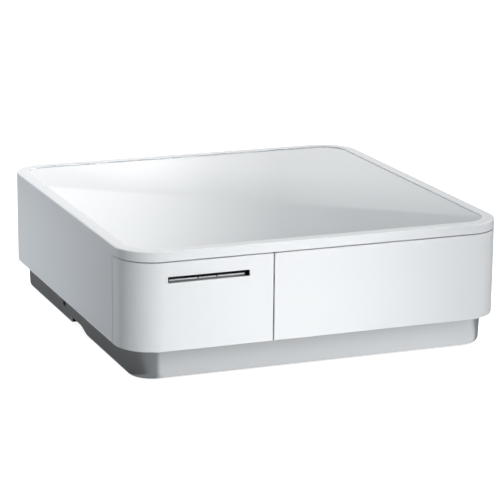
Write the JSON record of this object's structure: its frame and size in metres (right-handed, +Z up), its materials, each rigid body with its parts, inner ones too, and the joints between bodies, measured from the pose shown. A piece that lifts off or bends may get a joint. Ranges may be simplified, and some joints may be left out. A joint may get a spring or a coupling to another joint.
{
  "type": "cash drawer with receipt printer",
  "caption": "Low white cash drawer with a built-in receipt printer at its left, glossy recessed top and an inset silver base.",
  "frame": {"origin": "on the floor under the centre of the case", "axes": "+Z up, +X to the right across the width, the front faces -Y"},
  "size_m": [0.3, 0.308, 0.099],
  "materials": {
    "case_white": "satin moulded white",
    "gloss_white": "high gloss white",
    "base_silver": "satin silver",
    "black_plastic": "fine texture",
    "dark_plastic": "fine texture",
    "steel": "zinc plated",
    "tear_steel": "bright",
    "aluminium": "extruded",
    "rubber": "matte",
    "gear_plastic": "moulded",
    "board_green": "solder resist",
    "brass": "turned"
  },
  "bodies": {
    "housing": {"base_skirt": "base_silver", "bottom_plate": "dark_plastic", "deck": "case_white", "drawer_sensor": "black_plastic", "ejector_spring": "steel", "foot_1": "rubber", "foot_2": "rubber", "foot_3": "rubber", "foot_4": "rubber", "gear_plate": "steel", "head_bracket": "aluminium", "hinge_pin": "steel", "latch_bracket": "steel", "lever_pocket": "black_plastic", "main_board": "board_green", "paper_bin": "dark_plastic", "partition": "steel", "power_inlet": "black_plastic", "print_head": "black_plastic", "rail_outer_left": "steel", "rail_outer_right": "steel", "screw_1": "steel", "screw_2": "steel", "screw_3": "steel", "screw_4": "steel", "solenoid": "brass", "stepper_motor": "steel", "top_case": "case_white", "top_panel": "gloss_white", "usb_a_socket_1": "steel", "usb_a_socket_2": "steel", "usb_b_socket": "steel"},
    "drawer": {"drawer_front": "case_white", "drawer_tub": "dark_plastic", "coin_tray": "dark_plastic", "bill_divider_1": "dark_plastic", "bill_divider_2": "dark_plastic", "bill_divider_3": "dark_plastic", "bill_divider_4": "dark_plastic", "rail_inner_left": "steel", "rail_inner_right": "steel", "strike": "steel", "sensor_flag": "black_plastic"},
    "cover": {"printer_cover": "case_white", "slot_bezel": "black_plastic", "tear_bar": "tear_steel", "cover_arm_left": "steel", "cover_arm_right": "steel"},
    "platen": {"platen_roller": "rubber", "platen_shaft": "steel", "platen_gear": "gear_plastic"},
    "idler": {"idler_gear": "gear_plastic"},
    "pinion": {"motor_pinion": "brass"},
    "release_lever": {"cover_release_lever": "black_plastic"},
    "latch_rod": {"cover_latch_rod": "steel"},
    "latch": {"drawer_latch": "steel"},
    "plunger": {"solenoid_plunger": "steel"},
    "release_slider": {"manual_release": "black_plastic"},
    "power_key": {"power_button": "black_plastic"}
  },
  "joints": [
    {"name": "drawer_slide", "type": "slide", "parent": "housing", "child": "drawer", "axis": [0, -1, 0], "range_m": [0, 0.19]},
    {"name": "cover_tilt", "type": "hinge", "parent": "housing", "child": "cover", "pos_m": [-0.09, -0.121, 0.0125], "axis": [1, 0, 0], "range_deg": [0, 40]},
    {"name": "platen_spin", "type": "hinge", "parent": "cover", "child": "platen", "pos_m": [-0.088, -0.139, 0.0726], "axis": [1, 0, 0], "continuous": true},
    {"name": "idler_spin", "type": "hinge", "parent": "housing", "child": "idler", "pos_m": [-0.1285, -0.12176, 0.07777], "axis": [1, 0, 0], "continuous": true},
    {"name": "pinion_spin", "type": "hinge", "parent": "housing", "child": "pinion", "pos_m": [-0.1285, -0.11426, 0.06478], "axis": [1, 0, 0], "continuous": true},
    {"name": "release_lever_press", "type": "hinge", "parent": "housing", "child": "release_lever", "pos_m": [-0.121, -0.012, 0.01], "axis": [0, 1, 0], "range_deg": [0, 12]},
    {"name": "latch_rod_pull", "type": "slide", "parent": "housing", "child": "latch_rod", "axis": [0, 1, 0], "range_m": [0, 0.003]},
    {"name": "latch_turn", "type": "hinge", "parent": "housing", "child": "latch", "pos_m": [0.066, 0.144, 0.0375], "axis": [0, 0, 1], "range_deg": [-12, 0]},
    {"name": "plunger_pull", "type": "slide", "parent": "housing", "child": "plunger", "axis": [1, 0, 0], "range_m": [-0.00209, 0]},
    {"name": "manual_release_slide", "type": "slide", "parent": "housing", "child": "release_slider", "axis": [0, 1, 0], "range_m": [0, 0.006], "stiffness_N_per_m": 60},
    {"name": "power_press", "type": "slide", "parent": "housing", "child": "power_key", "axis": [0, -1, 0], "range_m": [0, 0.0015], "stiffness_N_per_m": 200}
  ],
  "couplings": [
    {"joint": "idler_spin", "follows": "platen_spin", "ratio": -0.8},
    {"joint": "pinion_spin", "follows": "platen_spin", "ratio": 1.6},
    {"joint": "release_lever_press", "follows": "latch_rod_pull", "rad_per_m": 69.8},
    {"joint": "latch_turn", "follows": "plunger_pull", "rad_per_m": 100}
  ]
}
